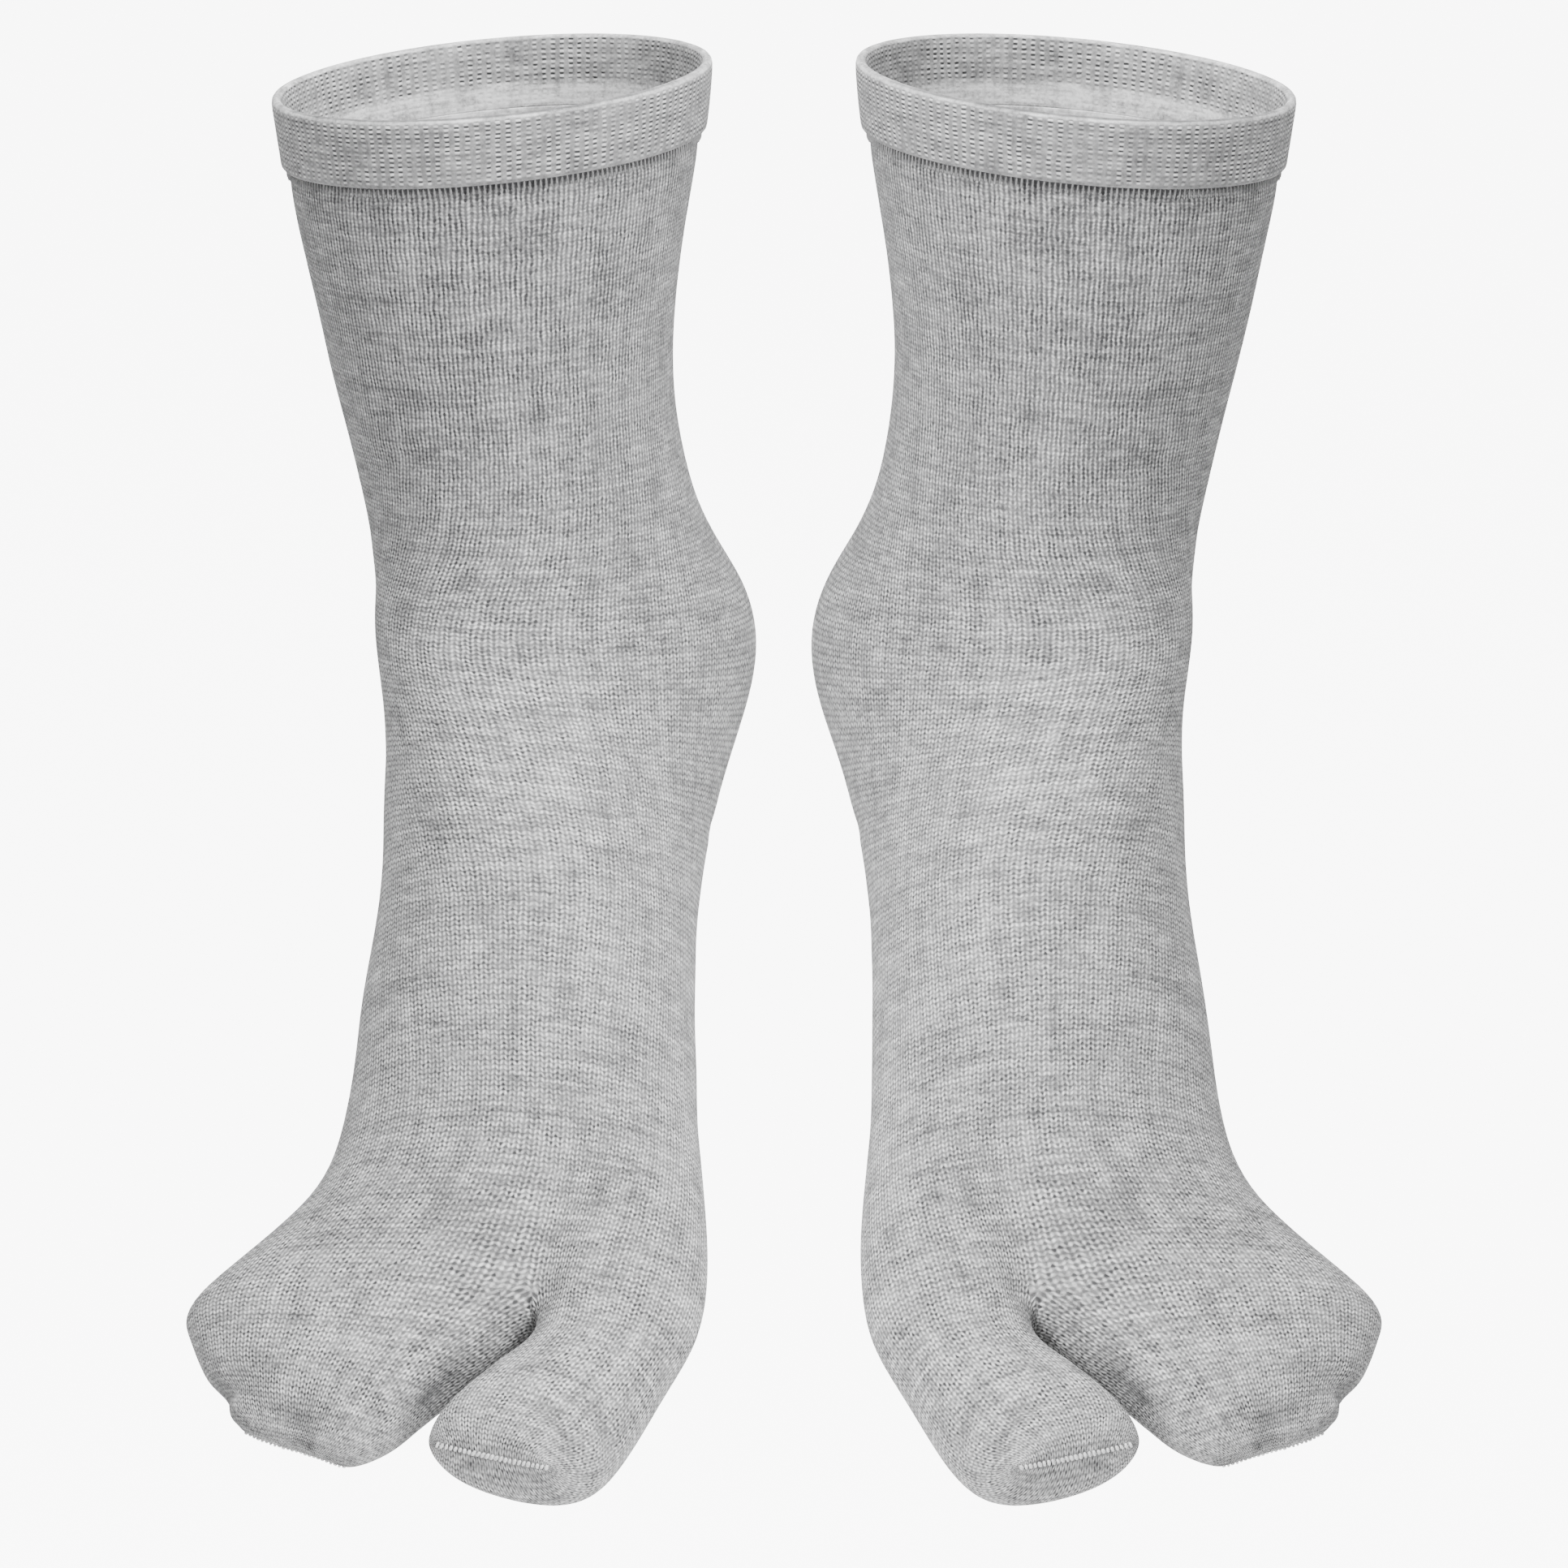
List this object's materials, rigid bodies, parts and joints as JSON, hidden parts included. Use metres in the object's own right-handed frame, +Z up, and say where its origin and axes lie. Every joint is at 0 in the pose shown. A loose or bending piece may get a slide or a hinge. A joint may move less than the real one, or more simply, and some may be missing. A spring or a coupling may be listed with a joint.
{
  "type": "pair of split-toe tabi socks filled out as worn",
  "caption": "Pair of knitted split-toe tabi socks in heather grey, hollow and filled out as on pointed feet, with doubled welts at the open tops.",
  "frame": {"origin": "midway between the two legs, level with the top of the welts, where the wearer's legs hold the pair", "axes": "+Z up the legs, -Y towards the toes, +X towards the wearer's left sock; X = 0 is the plane between the socks"},
  "size_m": [0.2262, 0.2119, 0.25],
  "materials": {
    "knit": "matte heather grey jersey knit"
  },
  "bodies": {
    "root": {"sock_right": "knit", "welt_right": "knit", "sock_left": "knit", "welt_left": "knit"}
  },
  "joints": []
}
